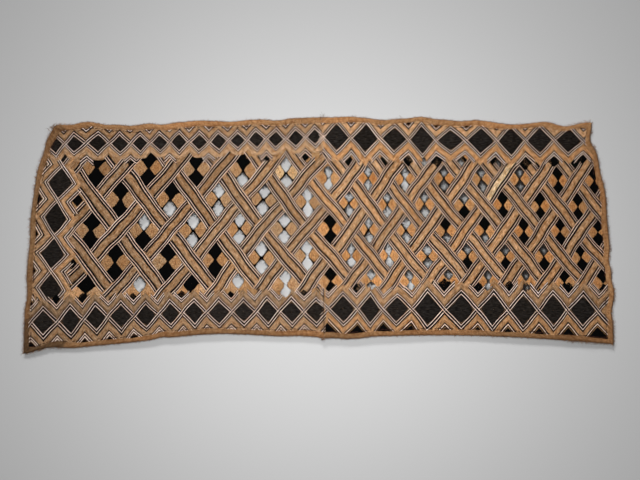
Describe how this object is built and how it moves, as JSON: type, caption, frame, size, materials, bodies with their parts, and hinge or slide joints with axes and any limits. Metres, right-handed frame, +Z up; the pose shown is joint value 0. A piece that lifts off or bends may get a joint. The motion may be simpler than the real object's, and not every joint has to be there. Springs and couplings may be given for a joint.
{
  "type": "kuba raffia cloth",
  "caption": "Long hemmed raffia cloth of joined panels with cut-pile interlaced bands, open-work lozenges and a border of dark lozenges.",
  "frame": {"origin": "middle of the cloth's box in plan, on the flat surface that it lies on", "axes": "+X along the cloth from its left panel to its right panel, +Y towards its upper edge, +Z up out of its worked face"},
  "size_m": [1.3566, 0.5442, 0.0032],
  "materials": {
    "left_raffia": "matt cut-pile raffia, golden tan, slightly pinkish",
    "right_raffia": "matt cut-pile raffia, golden tan, slightly orange"
  },
  "bodies": {
    "root": {"left_panel": "left_raffia", "right_panel": "right_raffia"}
  },
  "joints": []
}
